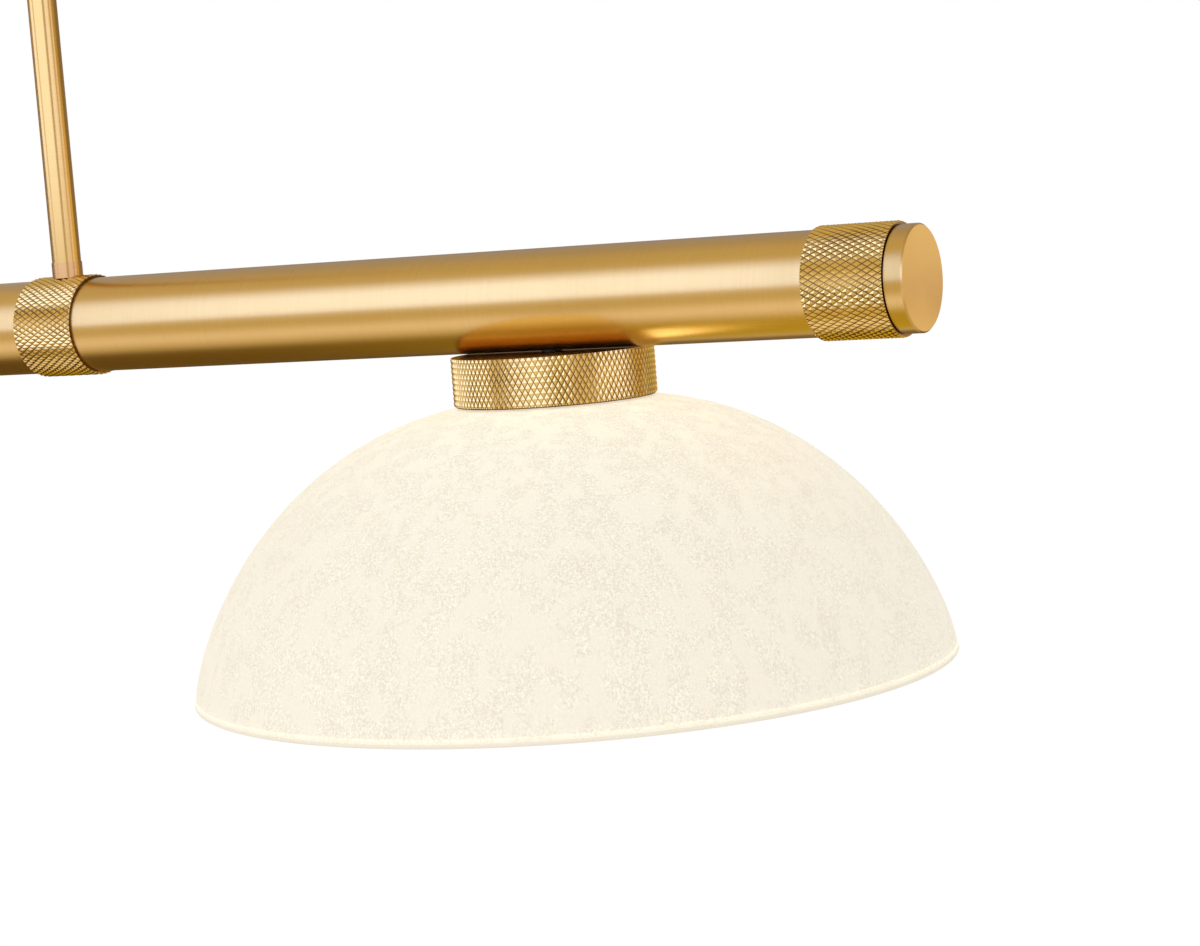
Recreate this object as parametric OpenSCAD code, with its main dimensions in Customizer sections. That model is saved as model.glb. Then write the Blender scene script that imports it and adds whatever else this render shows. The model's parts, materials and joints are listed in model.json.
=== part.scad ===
// Linear billiard light: a knurled brass bar on two downrods carries three
// glass dome shades. The origin is the middle of the ceiling face, +Z is up,
// +X runs along the bar, and everything hangs below Z = 0.

/* [Bar] */
// Outside diameter of the bar
bar_d = 50; // [40:1:64]
// Wall of the bar tube
bar_wall = 1.5; // [1:0.1:3]
// Distance between the centres of neighbouring shades
shade_pitch = 620; // [480:1:760]
// Distance from an outer shade's centre to the bar's end face
bar_overhang = 196; // [150:1:260]

/* [Knurled rings] */
// Width of one knurled diamond round the ring
knurl_pitch = 4.6; // [4:0.1:8]
// Angle between the knurl grooves and the ring's axis
knurl_angle = 30; // [25:1:45]
// Depth of the knurl grooves
knurl_depth = 1.1; // [0.5:0.1:1.4]
// How far the ring crests stand proud of the bar
ring_stand = 1.9; // [1.6:0.1:4]
// Length of each end ring
end_ring_len = 40; // [25:0.5:60]
// Length of each downrod collar
collar_len = 37.5; // [28:0.5:50]

/* [End buttons] */
// Diameter of the smooth end button
button_d = 50.2; // [40:0.1:64]
// Thickness of the end button
button_len = 9; // [5:0.5:15]
// Shadow gap between the end ring and the button
button_gap = 0.4; // [0.2:0.1:1]
// Chamfer round the button's face
button_chamfer = 0.8; // [0.3:0.1:2]

/* [Downrods] */
// Diameter of the downrods
rod_d = 15.4; // [13:0.1:20]
// Distance between the two downrods
rod_spacing = 651; // [500:1:900]
// Length of the upper section of each downrod
rod_upper_len = 305; // [100:1:900]
// Length of the lower section of each downrod
rod_lower_len = 305; // [100:1:900]
// Diameter of the ferrule at the foot of each rod
ferrule_d = 16.2; // [14:0.1:22]
// Height of the ferrule
ferrule_h = 8.3; // [5:0.1:20]

/* [Canopy] */
// Distance from each downrod to the canopy's end
canopy_overhang = 47; // [40:1:150]
// Width of the canopy
canopy_w = 115; // [90:1:160]
// Depth of the canopy
canopy_h = 25; // [22:0.5:50]
// Sheet thickness of the canopy
canopy_wall = 1.2; // [0.8:0.1:2]
// Corner radius of the canopy in plan
canopy_corner = 9; // [4:0.5:20]
// Radius of the canopy's lower edge
canopy_edge = 3; // [1:0.5:6]

/* [Ceiling bracket] */
// Length of the bracket
bracket_len = 470; // [300:1:520]
// Width of the bracket
bracket_w = 34; // [25:1:60]
// Thickness of the bracket
bracket_t = 3; // [2:0.1:3.2]
// Radius of the bracket's corners
bracket_corner = 6; // [2:0.5:12]
// Spacing of the junction box screws
box_spacing = 88.9; // [60:0.1:120]
// Diameter of the junction box screw holes
box_hole_d = 4.9; // [4:0.1:7]
// Distance from each canopy stud to the bracket's end
stud_inset = 35; // [26:1:90]
// Diameter of the canopy studs
stud_d = 5; // [4:0.5:6]

/* [Swivels] */
// Diameter of the swivel ball
ball_d = 22; // [19:0.5:26]
// Running clearance round the ball
ball_clearance = 0.1; // [0.05:0.01:0.3]
// Depth of the ball's centre below the canopy
ball_drop = 13; // [11:0.5:20]
// Thickness of the load plates inside the canopy
plate_t = 2.5; // [2:0.1:4]
// Outside diameter of the swivel cup's flange
cup_flange_d = 38; // [34:0.5:50]

/* [Shades] */
// Outside diameter of a shade at its rim
shade_d = 375; // [280:1:440]
// Height of a shade from its rim to its crown
shade_h = 136.5; // [110:0.5:180]
// Thickness of the glass
shade_wall = 4; // [3:0.1:6]
// Fullness of the shade's sides
shade_side_power = 2.54; // [2:0.01:3]
// Fullness of the shade's crown
shade_crown_power = 1.47; // [1.3:0.01:2]
// Diameter of the hole in the crown
shade_hole_d = 42; // [41:0.5:48]
// Diameter of the ground flat on the crown
shade_flat_d = 50; // [50:0.5:60]

/* [Shade necks] */
// Diameter of the knurled neck
neck_d = 100; // [80:1:130]
// Height of the knurled neck
neck_h = 24; // [18:0.5:40]
// Thickness of the neck's top plate
neck_plate = 2.5; // [1.5:0.1:5]
// Thickness of the neck's wall under the knurl crests
neck_wall = 5; // [3:0.5:8]
// Clearance between the bar and the neck's top plate
neck_seat = 0.2; // [0.1:0.05:0.3]

/* [Lampholders and bulbs] */
// Diameter of the lampholder's threaded body
socket_d = 39; // [36:0.5:40]
// Length of the lampholder
socket_len = 48; // [40:0.5:60]
// Outside diameter of the shade retaining ring
shade_ring_d = 54; // [48:0.5:64]
// Height of the shade retaining ring
shade_ring_h = 7; // [4:0.5:12]
// Thickness of the shade gasket
gasket_t = 0.8; // [0.5:0.1:2]
// Diameter of the bulb's screw cap
cap_d = 26; // [25:0.1:27]
// Diameter of the bulb's glass
bulb_d = 60; // [45:1:80]
// Length of the bulb from its contact to its end
bulb_len = 107; // [90:1:115]
// Wall of the bulb's glass
bulb_wall = 1; // [0.6:0.1:2]

/* [Threaded nipples and wires] */
// Diameter of the threaded nipples
nipple_d = 10; // [9:0.1:12]
// Bore of the threaded nipples
nipple_bore = 7; // [6:0.1:8]
// Clearance round each threaded nipple
thread_clearance = 0.1; // [0.05:0.05:0.3]
// Diameter of the lamp cable
wire_d = 3.2; // [2:0.1:4]

/* [Hidden] */
$fn = 96;
eps = 0.01;

brass = "#c9974a";
brass_pale = "#d9ae6c";
steel = "#b9bdc1";
glass_cream = "#f5ecd8";
cable_white = "#f0efe9";
porcelain = "#f2f0ea";

// clearances: round loose parts in drilled holes, and where a cutter passes a face
drill_clearance = 0.2;
cut = 1;

// bar and rings
bar_r = bar_d / 2;
bar_inner_r = bar_r - bar_wall;
ring_r = bar_r + ring_stand;
ring_bore_r = bar_r + thread_clearance;
ring_lip = 2;
ring_lip_r = 12;
half_len = shade_pitch + bar_overhang;
ring_out_x = half_len - button_len - button_gap;
bar_end_x = ring_out_x - ring_lip;
rod_x = rod_spacing / 2;
plug_len = 12;
plug_r = bar_inner_r - thread_clearance;
plug_clearance = 0.1;
spigot_r = 4;
button_land_r = 18;

// threaded nipples
nipple_r = nipple_d / 2;
tapped_r = nipple_r + thread_clearance;
boss_r = 9;
boss_deep = 7.5;
boss_fit = 0.05;
thread_proud = 1;
socket_thread = 9;

// heights of the downrod stack, from the ceiling down
ball_r = ball_d / 2;
ball_z = -canopy_h - ball_drop;
neck_stub_r = 5.5;
stub_drop = 1.5;
rod_top_z = ball_z - ball_r - stub_drop;
seam_z = rod_top_z - rod_upper_len;
rod_foot_z = seam_z - rod_lower_len;
collar_floor = 0.9;
collar_seat = bar_r + collar_floor;
bar_z = rod_foot_z - ferrule_h - collar_seat;
seat_clearance = 0.3;
seat_r = ferrule_d / 2 + seat_clearance;
rod_thread = 12;

// swivel cup
cup_bore_r = ball_r + ball_clearance;
cup_wall = 2;
cup_barrel_r = cup_bore_r + cup_wall;
cup_bell = 4;
cup_lip = 0.6;
cup_lip_drop = 6.2;
bell_steps = 6;
cup_flange_h = 2.5;
locknut_h = 5;
locknut_land = 4.5;
locknut_af = 2 * (cup_barrel_r + locknut_land);
barrel_proud = 1.5;
barrel_top_z = -canopy_h + canopy_wall + plate_t + locknut_h + barrel_proud;
ball_flat = 6;
flare_r = 6.2;
bore_step = 0.3;
ball_bore_r = nipple_bore / 2 - bore_step;

// canopy, ceiling bracket, studs and load plates
canopy_len = rod_spacing + 2 * canopy_overhang;
stud_spacing = bracket_len - 2 * stud_inset;
anchor_inset = 12;
anchor_hole_d = 6;
wire_hole_d = 16;
wire_hole_x = 20;
stud_reach = 5.5;
stud_top_gap = 0.3;
stud_head_land = 2.5;
stud_head_h = 2;
stud_slack = 0.6;
nut_wall = 4;
nut_len = 9;
nut_dome = 3;
nut_bevel = 0.6;
nut_bore = 6.5;
plate_margin = 10;
lane_gap = 4;
inner_edge_min = 0.5;

// shade, lampholder and bulb heights, measured from the bar's axis
neck_top = -bar_r - neck_seat;
neck_low = neck_top - neck_h;
nut_h = 4.5;
nut_af = 18;
socket_top = neck_top - neck_plate - nut_h;
socket_low = socket_top - socket_len;
crown_in_neck = 2.2;
shade_crown = neck_low + crown_in_neck;
shade_rim = shade_crown - shade_h;
shade_r = shade_d / 2;
shade_flat_r = shade_flat_d / 2;
flange_h = 3;
flange_bevel = 0.8;
flange_inset = 0.5;
flange_r = shade_flat_r - flange_inset;
rim_bevel = 0.8;
dome_steps = 30;
socket_r = socket_d / 2;
socket_wall = 4;
socket_edge = 1;
socket_crown = [[6, 0], [2, 1.5], [0, 5]];
cavity_clearance = 1.2;
cavity_r = cap_d / 2 + cavity_clearance;
cavity_depth = 27;
cavity_floor = socket_low + cavity_depth;
floor_t = 4;
shell_wall = 0.6;
shell_inset = 0.5;
shell_gap = 0.1;
shell_mouth_r = 8;
contact_h = 1.2;
contact_r = 4;
contact_pin_r = 1.6;
contact_gap = 0.3;
pin_clearance = 0.1;
tip_z = cavity_floor - contact_h - contact_gap;
tip_h = 2.8;
tip_r = 4.7;
tip_land = 1;
tip_nose_r = 2.5;
tip_skirt = 0.3;
cap_r = cap_d / 2;
cap_drop = 0.5;
cap_low = socket_low - cap_drop;
cap_sheet = 0.25;
cap_top_wall = 1.5;
cap_throat_wall = 1.6;
cap_mouth_h = 7;
cap_mouth_slope = 1;
cap_crest = 0.35;
cap_pitch = 3.63;
cap_root_r = cap_r - cap_crest;
cap_mouth_r = cap_root_r - cap_sheet;
cap_taper_h = 5;
gasket_clearance = 0.5;
ring_seat_clearance = 0.5;
ring_band_h = 1.6;
ring_slope_h = 0.8;
ring_step = 2.6;
ring_notch_r = 1.6;
ring_notches = 12;
bulb_r = bulb_d / 2;
bulb_low = tip_z - bulb_len;
bulb_shoulder = 0.4;
bulb_lip = 0.6;
bulb_lip_gap = 0.1;
stem_gap = 0.1;
stem_len = 6;
wire_r = wire_d / 2;
wire_gap = 0.4;
wire_end_drop = 13;
block_len = 36;
block_w = 18;
block_h = 12;
block_body_h = 9;
block_slot = 2;
block_ledge = 3;
block_x = -60;
block_y = (bracket_w / 2 + canopy_w / 2 - canopy_wall) / 2;
clamp_screw_deep = 4;
clamp_screw_d = 3.4;
clamp_bore_d = 3.6;
clamp_bore_z = 4.5;
lead_gap = 0.2;
lead_rise = 5;
lead_height = 5.5;
lead_z = -canopy_h + canopy_wall + lead_height;
plate_len = 2 * (canopy_overhang - canopy_wall - plate_margin);
plate_w = 2 * (block_y - wire_r - lane_gap);

// Height of the dome's outer or inner surface above the rim at a radius
function dome_z(r, big_r, h) =
  h * pow(1 - pow(r / big_r, shade_side_power), 1 / shade_crown_power);

// Points of the dome's section from the rim to a given radius
function dome_curve(big_r, h, end_r, steps) = [
  for (i = [0 : steps])
    let (r = big_r - (big_r - end_r) * pow(i / steps, 2))
      [r, dome_z(r, big_r, h)]
];

function reversed(list) = [for (i = [len(list) - 1 : -1 : 0]) list[i]];

module at_lamp(side) translate([side * shade_pitch, 0, bar_z]) children();

module at_rod(side) translate([side * rod_x, 0, 0]) children();

module at_bar_end(side) translate([0, 0, bar_z]) rotate([0, side * 90, 0]) children();

module at_lamps() for (side = [-1 : 1]) at_lamp(side) children();

module at_rods() for (side = [-1, 1]) at_rod(side) children();

// A tube or disc from z0 up to z1
module tube(r_out, r_in, z0, z1) {
  translate([0, 0, z0]) difference() {
    cylinder(r = r_out, h = z1 - z0);
    translate([0, 0, -cut]) cylinder(r = r_in, h = z1 - z0 + 2 * cut);
  }
}

// A drum along +Z whose side is cut into a diamond knurl: the crests are
// pyramids at radius r, and the grooves between them cross depth below. The
// pattern runs past both ends, which are faced off square.
module knurled_drum(r, h) {
  n = round(2 * PI * r / knurl_pitch);
  m = 2 * n;
  row = knurl_pitch / 2 / tan(knurl_angle);
  rows = 2 * (floor(h / row / 2) + 1);
  crests = [
    for (k = [0 : rows], j = [0 : m - 1])
      let (rad = (j + k) % 2 == 0 ? r - knurl_depth : r)
        [rad * cos(j * 180 / n), rad * sin(j * 180 / n), h / 2 + (k - rows / 2) * row]
  ];
  facets = [
    for (k = [0 : rows - 1], j = [0 : m - 1], side = [0, 1])
      let (
        a = k * m + j,
        b = k * m + (j + 1) % m,
        c = b + m,
        d = a + m,
        groove_up = (j + k) % 2 == 0
      )
      groove_up ? (side == 0 ? [a, d, c] : [a, c, b])
                : (side == 0 ? [a, d, b] : [b, d, c])
  ];
  foot = [for (j = [0 : m - 1]) j];
  head = [for (j = [m - 1 : -1 : 0]) rows * m + j];
  intersection() {
    polyhedron(points = crests, faces = concat(facets, [foot, head]));
    cylinder(r = r + cut, h = h);
  }
}

// Canopy and ceiling parts

module plan_outline(length, width, r) {
  square([length, width - 2 * r], center = true);
  square([length - 2 * r, width], center = true);
  for (x = [-1, 1], y = [-1, 1])
    translate([x * (length / 2 - r), y * (width / 2 - r)]) circle(r = r);
}

// Section of a tray that is w wide and d deep with a rounded lower edge
function tray_section(w, d, r) = concat(
  [[-w / 2, 0]],
  [for (a = [0 : 15 : 90]) [-w / 2 + r - r * cos(a), -d + r - r * sin(a)]],
  [for (a = [90 : -15 : 0]) [w / 2 - r + r * cos(a), -d + r - r * sin(a)]],
  [[w / 2, 0]]
);

module tray(length, width, depth, corner, edge) {
  intersection() {
    translate([0, 0, -depth]) linear_extrude(depth)
      plan_outline(length, width, corner);
    rotate([90, 0, 90]) linear_extrude(length + 2 * cut, center = true)
      polygon(tray_section(width, depth, edge));
    rotate([90, 0, 0]) linear_extrude(width + 2 * cut, center = true)
      polygon(tray_section(length, depth, edge));
  }
}

module canopy() {
  color(brass) difference() {
    tray(canopy_len, canopy_w, canopy_h, canopy_corner, canopy_edge);
    translate([0, 0, eps]) tray(
      canopy_len - 2 * canopy_wall, canopy_w - 2 * canopy_wall,
      canopy_h - canopy_wall + eps, canopy_corner - canopy_wall,
      max(inner_edge_min, canopy_edge - canopy_wall)
    );
    at_rods() translate([0, 0, -canopy_h - cut])
      cylinder(r = cup_barrel_r + drill_clearance, h = canopy_wall + 2 * cut);
    for (x = [-1, 1]) translate([x * stud_spacing / 2, 0, -canopy_h - cut])
      cylinder(d = stud_d + stud_slack, h = canopy_wall + 2 * cut);
  }
}

// A flat strip with the junction box holes, two wire holes and anchor holes
module ceiling_bracket() {
  holes = [
    [wire_hole_x, wire_hole_d],
    [box_spacing / 2, box_hole_d],
    [bracket_len / 2 - anchor_inset, anchor_hole_d],
    [stud_spacing / 2, stud_d + drill_clearance]
  ];
  color(steel) difference() {
    translate([0, 0, -bracket_t]) linear_extrude(bracket_t)
      plan_outline(bracket_len, bracket_w, bracket_corner);
    for (side = [-1, 1], hole = holes)
      translate([side * hole[0], 0, -bracket_t - cut])
        cylinder(d = hole[1], h = bracket_t + 2 * cut);
  }
}

module canopy_studs() {
  stud_low = -canopy_h - stud_reach;
  color(steel) for (x = [-1, 1]) translate([x * stud_spacing / 2, 0, 0]) {
    translate([0, 0, stud_low]) cylinder(d = stud_d, h = -stud_low - stud_top_gap);
    translate([0, 0, -bracket_t - stud_head_h]) cylinder(r = stud_d / 2 + stud_head_land, h = stud_head_h);
  }
}

// Blind thumb nuts with a domed end under the canopy
module canopy_nuts() {
  r = stud_d / 2 + nut_wall;
  dome_low = -nut_len + nut_dome;
  color(brass) for (x = [-1, 1])
    translate([x * stud_spacing / 2, 0, -canopy_h]) difference() {
      rotate_extrude() polygon(concat(
        [[0, 0], [r - nut_bevel, 0], [r, -nut_bevel], [r, dome_low]],
        [for (a = [15 : 15 : 90]) [r - nut_dome + nut_dome * cos(a), dome_low - nut_dome * sin(a)]],
        [[0, -nut_len]]
      ));
      translate([0, 0, -nut_bore]) cylinder(d = stud_d + drill_clearance, h = nut_bore + cut);
    }
}

// Plates that spread the load of the rods over the canopy's floor
module load_plates() {
  color(steel) at_rods()
    translate([0, 0, -canopy_h + canopy_wall]) difference() {
      translate([-plate_len / 2, -plate_w / 2, 0]) cube([plate_len, plate_w, plate_t]);
      translate([0, 0, -cut]) cylinder(r = cup_barrel_r + drill_clearance, h = plate_t + 2 * cut);
    }
}

// Bell-shaped cup: the ball drops in from above and rests on a spherical seat
module swivel_cup() {
  low = ball_z - cup_lip_drop;
  flange_low = -canopy_h - cup_flange_h;
  bell_r = cup_bore_r + cup_bell;
  lip_r = cup_bore_r + cup_lip;
  color(brass) difference() {
    rotate_extrude() polygon(concat(
      [[0, barrel_top_z], [cup_barrel_r, barrel_top_z], [cup_barrel_r, -canopy_h],
       [cup_flange_d / 2, -canopy_h], [cup_flange_d / 2, flange_low]],
      [for (i = [0 : bell_steps])
        let (t = i / bell_steps)
          [bell_r - (bell_r - lip_r) * t * t, flange_low + (low - flange_low) * t]],
      [[0, low]]
    ));
    translate([0, 0, ball_z]) sphere(r = cup_bore_r);
    translate([0, 0, ball_z]) cylinder(r = cup_bore_r, h = barrel_top_z - ball_z + cut);
  }
}

module swivel_locknuts() {
  color(steel) at_rods()
    translate([0, 0, -canopy_h + canopy_wall + plate_t]) difference() {
      cylinder(d = locknut_af / cos(30), h = locknut_h, $fn = 6);
      translate([0, 0, -cut])
        cylinder(r = cup_barrel_r + thread_clearance, h = locknut_h + 2 * cut);
    }
}

// Downrod parts

// Truncated ball with a threaded stub below and a bore that flares upward
module swivel_ball() {
  color(brass) translate([0, 0, ball_z]) difference() {
    union() {
      intersection() {
        sphere(r = ball_r);
        translate([0, 0, -ball_r]) cylinder(r = ball_r + cut, h = ball_r + ball_flat);
      }
      translate([0, 0, rod_top_z - ball_z])
        cylinder(r = neck_stub_r, h = ball_z - rod_top_z - ball_r / 2);
      translate([0, 0, rod_top_z - ball_z - rod_thread])
        cylinder(r = nipple_r, h = rod_thread + eps);
    }
    translate([0, 0, rod_top_z - ball_z - rod_thread - cut])
      cylinder(r = ball_bore_r, h = rod_thread + stub_drop + ball_r + ball_flat + 2 * cut);
    translate([0, 0, -cut])
      cylinder(r1 = ball_bore_r, r2 = flare_r, h = ball_flat + cut + eps);
  }
}

module rod_upper() {
  color(brass_pale) tube(rod_d / 2, tapped_r, seam_z, rod_top_z);
}

module rod_lower() {
  color(brass_pale) tube(rod_d / 2, tapped_r, rod_foot_z, seam_z);
}

module rod_couplers() {
  color(steel) at_rods()
    tube(nipple_r, nipple_bore / 2, seam_z - rod_thread, seam_z + rod_thread);
}

module rod_foot_nipples() {
  color(steel) at_rods()
    tube(
      nipple_r, nipple_bore / 2,
      bar_z + bar_inner_r - boss_deep - thread_proud, rod_foot_z + rod_thread
    );
}

module rod_ferrule() {
  color(brass) tube(ferrule_d / 2, tapped_r, rod_foot_z - ferrule_h, rod_foot_z);
}

// Knurled sleeve round the bar with a spot-faced seat for the ferrule
module collar() {
  color(brass) translate([0, 0, bar_z]) difference() {
    rotate([0, 90, 0]) translate([0, 0, -collar_len / 2]) difference() {
      knurled_drum(ring_r, collar_len);
      translate([0, 0, -cut]) cylinder(r = ring_bore_r, h = collar_len + 2 * cut);
    }
    translate([0, 0, collar_seat]) cylinder(r = seat_r, h = ring_stand + cut);
    cylinder(r = tapped_r, h = ring_r + cut);
  }
}

// Bar and its ends

module bar() {
  color(brass) translate([0, 0, bar_z]) difference() {
    rotate([0, 90, 0]) tube(bar_r, bar_inner_r, -bar_end_x, bar_end_x);
    at_rods() cylinder(r = tapped_r, h = bar_r + cut);
    for (side = [-1 : 1]) translate([side * shade_pitch, 0, -bar_r - cut])
      cylinder(r = tapped_r, h = bar_r);
  }
}

// A tapped boss that seats against the inside of the bar, above its axis
module bar_boss() {
  difference() {
    intersection() {
      translate([0, 0, bar_inner_r - boss_deep]) cylinder(r = boss_r, h = boss_deep);
      rotate([0, 90, 0])
        cylinder(r = bar_inner_r - boss_fit, h = 2 * (boss_r + cut), center = true);
    }
    cylinder(r = tapped_r, h = bar_r);
  }
}

module bar_bosses() {
  color(steel) {
    at_rods() translate([0, 0, bar_z]) bar_boss();
    at_lamps() rotate([180, 0, 0]) bar_boss();
  }
}

module end_plug() {
  color(steel) tube(plug_r, spigot_r + plug_clearance, bar_end_x - plug_len, bar_end_x);
}

// Knurled ring over the bar's end, with an inner lip that the button clamps
module end_ring() {
  color(brass) translate([0, 0, ring_out_x - end_ring_len]) difference() {
    knurled_drum(ring_r, end_ring_len);
    translate([0, 0, -cut]) cylinder(r = ring_bore_r, h = end_ring_len - ring_lip + cut);
    cylinder(r = ring_lip_r, h = end_ring_len + cut);
  }
}

module end_button() {
  r = button_d / 2;
  color(brass) rotate_extrude() polygon([
    [0, ring_out_x - ring_lip - plug_len], [spigot_r, ring_out_x - ring_lip - plug_len],
    [spigot_r, ring_out_x], [button_land_r, ring_out_x],
    [button_land_r, ring_out_x + button_gap], [r, ring_out_x + button_gap],
    [r, half_len - button_chamfer], [r - button_chamfer, half_len], [0, half_len]
  ]);
}

// Shade necks and what hangs from them

module neck() {
  pocket_r = neck_d / 2 - neck_wall;
  color(brass) translate([0, 0, neck_low]) difference() {
    knurled_drum(neck_d / 2, neck_h);
    translate([0, 0, -cut]) cylinder(r = pocket_r, h = neck_h - neck_plate + cut);
    cylinder(r = tapped_r, h = neck_h + cut);
  }
}

module neck_nipples() {
  color(steel) at_lamps()
    tube(
      nipple_r, nipple_bore / 2,
      socket_top - socket_thread, -bar_inner_r + boss_deep + thread_proud
    );
}

module neck_nuts() {
  color(steel) at_lamps() translate([0, 0, socket_top]) difference() {
    cylinder(d = nut_af, h = nut_h, $fn = 6);
    translate([0, 0, -cut]) cylinder(r = tapped_r, h = nut_h + 2 * cut);
  }
}

// Lampholder body with a shoulder for the shade, a wiring chamber above and
// the cavity for the screw shell below
module socket_body() {
  shoulder = shade_crown_seat() + gasket_t;
  chamber_r = socket_r - socket_wall;
  chamber_top = socket_top - socket_wall;
  color(porcelain) difference() {
    rotate_extrude() polygon(concat(
      [[0, socket_low], [0, socket_top]],
      [for (p = socket_crown) [socket_r - p[0], socket_top - p[1]]],
      [[socket_r, shoulder + flange_h], [flange_r, shoulder + flange_h - flange_bevel],
       [flange_r, shoulder], [socket_r, shoulder], [socket_r, socket_low + socket_edge],
       [socket_r - socket_edge, socket_low]]
    ));
    translate([0, 0, chamber_top - cut]) cylinder(r = tapped_r, h = socket_wall + 2 * cut);
    translate([0, 0, cavity_floor + floor_t])
      cylinder(r = chamber_r, h = chamber_top - cavity_floor - floor_t);
    translate([0, 0, cavity_floor - cut])
      cylinder(r = contact_pin_r + pin_clearance, h = floor_t + 2 * cut);
    translate([0, 0, socket_low - cut])
      cylinder(r = cavity_r, h = cavity_floor - socket_low + cut);
  }
}

module socket_shell() {
  r = cavity_r - shell_gap;
  color(brass_pale) rotate_extrude() polygon([
    [shell_mouth_r, cavity_floor], [r, cavity_floor], [r, socket_low + shell_inset],
    [r - shell_wall, socket_low + shell_inset], [r - shell_wall, cavity_floor - shell_wall],
    [shell_mouth_r, cavity_floor - shell_wall]
  ]);
}

module socket_contacts() {
  color(brass) at_lamps() rotate_extrude() polygon([
    [0, cavity_floor - contact_h], [contact_r - contact_h, cavity_floor - contact_h],
    [contact_r, cavity_floor - contact_h / 3], [contact_r, cavity_floor],
    [contact_pin_r, cavity_floor], [contact_pin_r, cavity_floor + floor_t + shell_wall],
    [0, cavity_floor + floor_t + shell_wall]
  ]);
}

// Height of the flat ground seat on the outside of the crown
function shade_crown_seat() = shade_rim + dome_z(shade_flat_r, shade_r, shade_h);

module shade_gaskets() {
  color("#e8e4da") at_lamps()
    tube(flange_r, socket_r + gasket_clearance, shade_crown_seat(), shade_crown_seat() + gasket_t);
}

// Threaded ring with finger notches that clamps the shade from inside
module shade_ring() {
  top = shade_crown_seat() - shade_wall;
  bore_r = socket_r + thread_clearance;
  r = shade_ring_d / 2;
  color(brass) difference() {
    rotate_extrude() polygon([
      [bore_r, top], [r, top], [r, top - ring_band_h],
      [r - ring_step, top - ring_band_h - ring_slope_h], [r - ring_step, top - shade_ring_h],
      [bore_r, top - shade_ring_h]
    ]);
    for (i = [1 : ring_notches]) rotate([0, 0, i * 360 / ring_notches])
      translate([r - ring_step / 2, 0, top - shade_ring_h - cut])
        cylinder(r = ring_notch_r, h = shade_ring_h - ring_band_h + cut);
  }
}

// Glass dome: a superellipse section with a ground rim, a hole in the crown
// and a ground flat on both sides round the hole
module shade() {
  inner_r = shade_r - shade_wall;
  inner_h = shade_h - shade_wall;
  hole_r = shade_hole_d / 2;
  seat = dome_z(shade_flat_r, shade_r, shade_h);
  seat_in_r = shade_ring_d / 2 + ring_seat_clearance;
  outside = dome_curve(shade_r, shade_h, shade_flat_r, dome_steps);
  inside = dome_curve(inner_r, inner_h, seat_in_r, dome_steps);
  color(glass_cream) translate([0, 0, shade_rim]) rotate_extrude($fn = 180) polygon(concat(
    [[inner_r, 0], [shade_r - rim_bevel, 0]],
    [for (p = outside) [p[0], max(p[1], rim_bevel)]],
    [[hole_r, seat], [hole_r, seat - shade_wall], [seat_in_r, seat - shade_wall]],
    reversed([for (i = [1 : dome_steps]) inside[i]])
  ));
}

// Bulb outline from the cap's mouth down to its end
function bulb_outline(wall) = let (
  neck_r = cap_r + bulb_shoulder - wall,
  max_r = bulb_r - wall,
  z0 = cap_low - bulb_lip,
  z1 = bulb_low + bulb_r
) concat(
  [for (t = [0 : 0.125 : 1]) [neck_r + (max_r - neck_r) * pow(sin(t * 90), 2), z0 + (z1 - z0) * t]],
  [for (a = [10 : 10 : 80]) [max_r * cos(a), z1 - max_r * sin(a)]],
  [[0, z1 - max_r]]
);

module bulb_glass() {
  stem_r = cap_mouth_r - stem_gap;
  stem_top = cap_low + stem_len;
  color("#fff8ea") rotate_extrude() polygon(concat(
    [[stem_r - bulb_wall, stem_top], [stem_r, stem_top], [stem_r, cap_low - bulb_lip_gap]],
    bulb_outline(0),
    reversed(bulb_outline(bulb_wall))
  ));
}

// Screw cap: a thin shell with rolled thread crests and a tapered top
module bulb_cap() {
  top = tip_z - tip_h;
  shoulder = top - cap_taper_h;
  throat_r = cap_root_r - cap_throat_wall;
  throat_z = cap_low + cap_mouth_h + cap_mouth_slope;
  turns = floor((shoulder - cap_low) / cap_pitch);
  color(steel) rotate_extrude() polygon(concat(
    [[0, top], [tip_r + tip_skirt, top], [cap_root_r, shoulder]],
    [for (i = [1 : 2 * turns])
      [i % 2 == 1 ? cap_r : cap_root_r, shoulder - i * cap_pitch / 2]],
    [[cap_root_r, cap_low], [cap_mouth_r, cap_low], [cap_mouth_r, cap_low + cap_mouth_h],
     [throat_r, throat_z], [throat_r, shoulder],
     [tip_r - tip_land, top - cap_top_wall], [0, top - cap_top_wall]]
  ));
}

module bulb_tip() {
  top = tip_z - tip_h;
  color(steel) rotate_extrude() polygon([
    [0, top], [tip_r, top], [tip_r, top + tip_land], [tip_nose_r, tip_z], [0, tip_z]
  ]);
}

// Wiring

// One round cable that follows a list of points, with ball-shaped elbows
module cable(route, r) {
  for (i = [0 : len(route) - 2]) {
    d = route[i + 1] - route[i];
    translate(route[i])
      rotate([0, acos(d[2] / norm(d)), atan2(d[1], d[0])])
        cylinder(r = r, h = norm(d), $fn = 24);
  }
  for (i = [1 : len(route) - 2]) translate(route[i]) sphere(r = r, $fn = 24);
}

// From the terminal block along the canopy and over the cup to the left ball
module supply_leads() {
  over_z = barrel_top_z + lead_rise;
  color(cable_white) cable([
    [block_x - block_len / 2 - lead_gap, block_y, lead_z],
    [-rod_x, block_y, lead_z],
    [-rod_x, block_y, over_z],
    [-rod_x, 0, over_z],
    [-rod_x, 0, ball_z + wire_gap]
  ], wire_r);
}

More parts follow.
